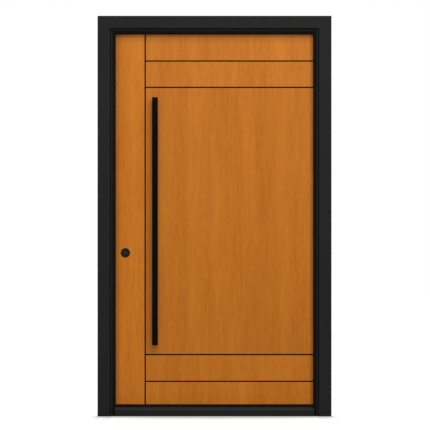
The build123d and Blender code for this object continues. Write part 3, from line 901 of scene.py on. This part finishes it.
class DOOR_OT_finish_lock(bpy.types.Operator):
    """Finish the deadbolt and its strike, and add their screws"""

    bl_idname = "door.finish_lock"
    bl_label = "Finish Lock"

    def execute(self, context):
        fasteners = context.scene.door_fasteners
        grey = coat_material("lock_metal", context.scene.door_finish.lock_grey)
        dress(grey, "key_cylinder", "deadbolt_faceplate", "deadbolt_bolt", "strike_plate")
        dress(rose_material(), "deadbolt_rose", "thumb_turn_rose")

        low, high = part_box("strike_plate")
        middle = (low + high) / 2
        rises = (-STRIKE_SCREW_RISE, STRIKE_SCREW_RISE)
        seats = [((high.x, middle.y, middle.z + rise), (1.0, 0.0, 0.0)) for rise in rises]
        add_screws(
            "strike_screws", "frame", grey,
            fasteners.plate_head, fasteners.head_rise, seats, seed=7,
        )

        outer_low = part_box("outer_skin")[0]
        inner_low, inner_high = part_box("inner_skin")
        lock_y = (outer_low.y + inner_high.y) / 2
        edge_x = inner_low.x + (inner_high.y - lock_y) * math.tan(LATCH_BEVEL)
        facing = (-math.cos(LATCH_BEVEL), -math.sin(LATCH_BEVEL), 0.0)
        rises = (-FACEPLATE_SCREW_RISE, FACEPLATE_SCREW_RISE)
        seats = [((edge_x, lock_y, middle.z + rise), facing) for rise in rises]
        add_screws(
            "faceplate_screws", "leaf", grey,
            fasteners.plate_head, fasteners.head_rise, seats, seed=3,
        )
        return {"FINISHED"}


class DOOR_OT_finish_hinges(bpy.types.Operator):
    """Finish the hinges and add their screws"""

    bl_idname = "door.finish_hinges"
    bl_label = "Finish Hinges"

    def execute(self, context):
        fasteners = context.scene.door_fasteners
        black = coat_material("hinge_metal", context.scene.door_finish.hinge_black)
        dress(black, "hinge_pins")
        inner_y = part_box("hinge_jamb")[1].y
        edge_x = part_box("outer_skin")[1].x
        sides = (
            ("frame", "frame", edge_x + HINGE_GAP, (-1.0, 0.0, 0.0)),
            ("door", "leaf", edge_x, (1.0, 0.0, 0.0)),
        )
        for side, body, face_x, facing in sides:
            plates = sorted(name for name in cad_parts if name.endswith(f"_{side}_leaf"))
            dress(black, *plates)
            seats = []
            for name in plates:
                low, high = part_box(name)
                middle_z = (low.z + high.z) / 2
                for rise, inset in HINGE_SCREW_PLACES:
                    seats.append(((face_x, inner_y - inset, middle_z + rise), facing))
            add_screws(
                f"hinge_screws_{side}", body, black,
                fasteners.hinge_head, fasteners.hinge_rise, seats, seed=9,
            )
        return {"FINISHED"}


# Stage


def aim(item, direction):
    """Turn a lamp or camera to look along a direction."""
    item.rotation_mode = "QUATERNION"
    item.rotation_quaternion = Vector(direction).to_track_quat("-Z", "Y")


def seen_ray(tree):
    """One where a ray comes from the camera, a reflection or glass, and zero for light on the object."""
    path = tree.nodes.new("ShaderNodeLightPath").outputs
    sharp = maths(tree, "MAXIMUM", path["Is Camera Ray"], path["Is Glossy Ray"])
    return maths(tree, "MAXIMUM", sharp, path["Is Transmission Ray"])


def floor_shade(tree, settings):
    """How closed in the floor is in front of the door, more so at the casings' feet."""
    openness = put(
        tree, "ShaderNodeAmbientOcclusion", {"Distance": settings.contact_reach}, samples=16
    ).outputs["AO"]
    closed = maths(tree, "POWER", maths(tree, "SUBTRACT", 1.0, openness), 2.0)
    side = axes(tree, put(tree, "ShaderNodeTexCoord").outputs["Object"])
    ahead = ramp(tree, side["Y"], *SHADE_FADE, 1.0, SHADE_LEFT)
    low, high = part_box("hinge_casing")
    foot_middle = (low.x + high.x) / 2
    foot_reach = (high.x - low.x) / 2
    off_foot = maths(tree, "SUBTRACT", maths(tree, "ABSOLUTE", side["X"]), foot_middle)
    full, end = (foot_reach * share for share in FOOT_SPAN)
    at_foot = ramp(tree, maths(tree, "ABSOLUTE", off_foot), full, end, settings.foot_shade, 1.0)
    return maths(tree, "MULTIPLY", maths(tree, "MULTIPLY", closed, ahead), at_foot)


def floor_material(settings):
    """Pale, with its seen white lifted, so that only the shade at the foot stays grey."""
    material = bpy.data.materials.new("pale_floor")
    material.use_nodes = True
    tree = material.node_tree
    tree.nodes.clear()
    seen = seen_ray(tree)
    tint = mix(tree, seen, BOUNCE_GREY, SEEN_GREY)
    pale = put(tree, "ShaderNodeBsdfDiffuse", {"Color": tint})
    lifted = maths(tree, "MULTIPLY_ADD", floor_shade(tree, settings), -FLOOR_SHADE, FLOOR_WHITE)
    white = maths(tree, "MAXIMUM", lifted, FLOOR_LEAST)
    glow = put(tree, "ShaderNodeEmission", {"Strength": maths(tree, "MULTIPLY", seen, white)})
    both = put(tree, "ShaderNodeAddShader", {0: pale.outputs[0], 1: glow.outputs[0]})
    put(tree, "ShaderNodeOutputMaterial", {"Surface": both.outputs[0]})
    return material


class DOOR_OT_set_stage(bpy.types.Operator):
    """Set the floor, the lamps and the camera"""

    bl_idname = "door.set_stage"
    bl_label = "Set Stage"

    def execute(self, context):
        scene = context.scene
        self.lay_floor(scene)
        self.light_world(scene)
        self.hang_lamps(scene)
        self.place_camera(scene)
        scene.view_settings.view_transform = "Standard"
        return {"FINISHED"}

    def lay_floor(self, scene):
        """A pale square floor under the sill."""
        settings = scene.door_stage
        reach = settings.floor_reach
        mesh = bpy.data.meshes.new("floor")
        corners = ((-reach, -reach), (reach, -reach), (reach, reach), (-reach, reach))
        mesh.from_pydata([(x, y, -settings.floor_drop) for x, y in corners], [], [(0, 1, 2, 3)])
        mesh.materials.append(floor_material(settings))
        floor = bpy.data.objects.new("floor", mesh)
        scene.collection.objects.link(floor)

    def light_world(self, scene):
        """White as seen, and a plainer grey as light on the object."""
        settings = scene.door_stage
        world = bpy.data.worlds.new("studio")
        world.use_nodes = True
        tree = world.node_tree
        tree.nodes.clear()
        side = axes(tree, tree.nodes.new("ShaderNodeTexCoord").outputs["Generated"])
        dome = ramp(tree, side["Z"], 0.0, 1.0, settings.horizon, settings.zenith)
        indoors = ramp(tree, side["Y"], 0.0, 1.0, 0.0, settings.indoors)
        level = maths(tree, "MULTIPLY", maths(tree, "ADD", dome, indoors), settings.ambient)
        plain = (1.0, 1.0, 1.0, 1.0)
        soft = put(tree, "ShaderNodeBackground", {"Color": plain, "Strength": level})
        white = put(tree, "ShaderNodeBackground", {"Color": plain, "Strength": 1.0})
        both = put(tree, "ShaderNodeMixShader", {0: seen_ray(tree), 1: soft.outputs[0], 2: white.outputs[0]})
        put(tree, "ShaderNodeOutputWorld", {"Surface": both.outputs[0]})
        scene.world = world

    def hang_lamps(self, scene):
        """A broad key from straight ahead, and a lamp that lifts the head of the door."""
        settings = scene.door_stage
        azimuth, height = settings.key_azimuth, settings.key_height
        towards = Vector(
            (math.sin(azimuth) * math.cos(height), -math.cos(azimuth) * math.cos(height), math.sin(height))
        )
        key = bpy.data.lights.new("key", "SUN")
        key.energy = settings.key
        key.angle = settings.key_softness
        sun = bpy.data.objects.new("key", key)
        aim(sun, -towards)
        top = bpy.data.lights.new("top", "AREA")
        top.energy = settings.top_power
        top.shape = "RECTANGLE"
        top.size = settings.top_width
        top.size_y = settings.top_depth
        lamp = bpy.data.objects.new("top", top)
        lamp.location = settings.top_place
        aim(lamp, Vector(settings.top_target) - Vector(settings.top_place))
        for item in (sun, lamp):
            scene.collection.objects.link(item)

    def place_camera(self, scene):
        """A far camera, square to the door's outdoor face."""
        settings = scene.door_stage
        data = bpy.data.cameras.new("camera")
        data.lens = data.sensor_width * settings.camera_distance / settings.picture_width
        data.clip_end = settings.camera_distance * 4
        camera = bpy.data.objects.new("camera", data)
        face_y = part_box("latch_casing")[0].y
        camera.location = (settings.picture_x, face_y - settings.camera_distance, settings.picture_z)
        aim(camera, (0.0, 1.0, 0.0))
        scene.collection.objects.link(camera)
        scene.camera = camera


class DOOR_PT_sidebar(bpy.types.Panel):
    """Steps and settings of the door's finish."""

    bl_label = "Entry Door"
    bl_idname = "DOOR_PT_sidebar"
    bl_space_type = "VIEW_3D"
    bl_region_type = "UI"
    bl_category = "Entry Door"

    def draw(self, context):
        layout = self.layout
        for step in STEPS:
            layout.operator(step.bl_idname)
        for group in (context.scene.door_finish, context.scene.door_fasteners, context.scene.door_stage):
            box = layout.box()
            for name in group.bl_rna.properties.keys():
                if name not in ("rna_type", "name"):
                    box.prop(group, name)


STEPS = (
    DOOR_OT_paint_frame,
    DOOR_OT_fit_seals,
    DOOR_OT_finish_sill,
    DOOR_OT_stain_leaf,
    DOOR_OT_coat_pulls,
    DOOR_OT_finish_lock,
    DOOR_OT_finish_hinges,
    DOOR_OT_set_stage,
)
CLASSES = (DoorFinishSettings, DoorFastenerSettings, DoorStageSettings, *STEPS, DOOR_PT_sidebar)


def register():
    for item in CLASSES:
        bpy.utils.register_class(item)
    bpy.types.Scene.door_finish = PointerProperty(type=DoorFinishSettings)
    bpy.types.Scene.door_fasteners = PointerProperty(type=DoorFastenerSettings)
    bpy.types.Scene.door_stage = PointerProperty(type=DoorStageSettings)


def unregister():
    del bpy.types.Scene.door_stage
    del bpy.types.Scene.door_fasteners
    del bpy.types.Scene.door_finish
    for item in reversed(CLASSES):
        bpy.utils.unregister_class(item)


def main():
    register()
    bpy.ops.door.paint_frame()
    bpy.ops.door.fit_seals()
    bpy.ops.door.finish_sill()
    bpy.ops.door.stain_leaf()
    bpy.ops.door.coat_pulls()
    bpy.ops.door.finish_lock()
    bpy.ops.door.finish_hinges()
    bpy.ops.door.set_stage()


if __name__ == "__main__":
    main()
